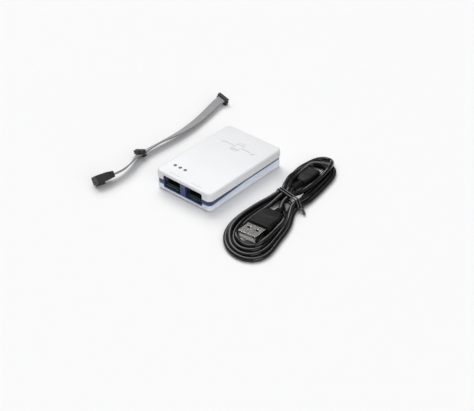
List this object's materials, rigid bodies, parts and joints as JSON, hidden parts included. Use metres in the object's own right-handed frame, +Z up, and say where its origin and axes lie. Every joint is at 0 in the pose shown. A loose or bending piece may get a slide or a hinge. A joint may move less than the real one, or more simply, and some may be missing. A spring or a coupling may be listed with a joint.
{
  "type": "usb microcontroller programmer",
  "caption": "Small white two-shell USB debugger and programmer with a clear blue band, shrouded ports, a tied USB lead and a ribbon lead.",
  "frame": {"origin": "centre of the pod's base, on the surface that it stands on", "axes": "+Y from the programming ports towards the USB socket, +Z up, +X to the right seen from the ports"},
  "size_m": [0.1406, 0.1324, 0.0137],
  "materials": {
    "top_shell": "satin moulded white",
    "base_shell": "satin moulded white",
    "clear_blue": "clear tinted blue",
    "screw_steel": "zinc plated",
    "foot_rubber": "matt",
    "label_film": "plain film with no print",
    "board_green": "solder mask",
    "connector_black": "moulded black",
    "contact_gold": "gold plated",
    "plug_steel": "nickel plated sheet",
    "socket_insert": "moulded black",
    "plug_insert": "moulded white",
    "chip_black": "moulded epoxy",
    "lead_tin": "tin plated",
    "capacitor_tan": "sintered",
    "led_body": "clear lens",
    "cord_black": "smooth black jacket",
    "grip_black": "satin moulded black",
    "ribbon_grey": "grey ribbon insulation"
  },
  "bodies": {
    "case": {"top_cover": "top_shell", "bottom_cover": "base_shell", "light_band": "clear_blue", "cover_screws": "screw_steel", "rubber_feet": "foot_rubber", "base_label": "label_film", "circuit_board": "board_green", "left_port_shroud": "connector_black", "left_port_pins": "contact_gold", "right_port_shroud": "connector_black", "right_port_pins": "contact_gold", "usb_socket_shell": "plug_steel", "usb_socket_tongue": "socket_insert", "usb_socket_contacts": "contact_gold", "main_controller": "chip_black", "controller_leads": "lead_tin", "level_shifters": "chip_black", "shifter_leads": "lead_tin", "crystal": "lead_tin", "voltage_regulator": "chip_black", "power_inductor": "chip_black", "capacitors": "capacitor_tan", "resistors": "lead_tin", "status_leds": "led_body", "light_pipes": "clear_blue"},
    "usb_lead": {"usb_cord_hank": "cord_black", "cord_tie": "cord_black", "usb_a_overmould": "grip_black", "usb_a_shell": "plug_steel", "usb_a_tongue": "plug_insert", "usb_a_contacts": "contact_gold", "usb_a_strain_relief": "cord_black", "micro_b_overmould": "grip_black", "micro_b_shell": "plug_steel", "micro_b_tongue": "socket_insert", "micro_b_strain_relief": "cord_black"},
    "ribbon_lead": {"ribbon_cable": "ribbon_grey", "probe_connector_body": "connector_black", "probe_connector_cap": "connector_black", "probe_connector_contacts": "contact_gold", "middle_connector_body": "connector_black", "middle_connector_cap": "connector_black", "middle_connector_contacts": "contact_gold", "target_connector_body": "connector_black", "target_connector_cap": "connector_black", "target_connector_contacts": "contact_gold"}
  },
  "joints": [
    {"name": "usb_lead_lift", "type": "slide", "parent": "case", "child": "usb_lead", "axis": [0, 0, 1], "range_m": [0, 0.05]},
    {"name": "ribbon_lead_lift", "type": "slide", "parent": "case", "child": "ribbon_lead", "axis": [0, 0, 1], "range_m": [0, 0.05]}
  ]
}
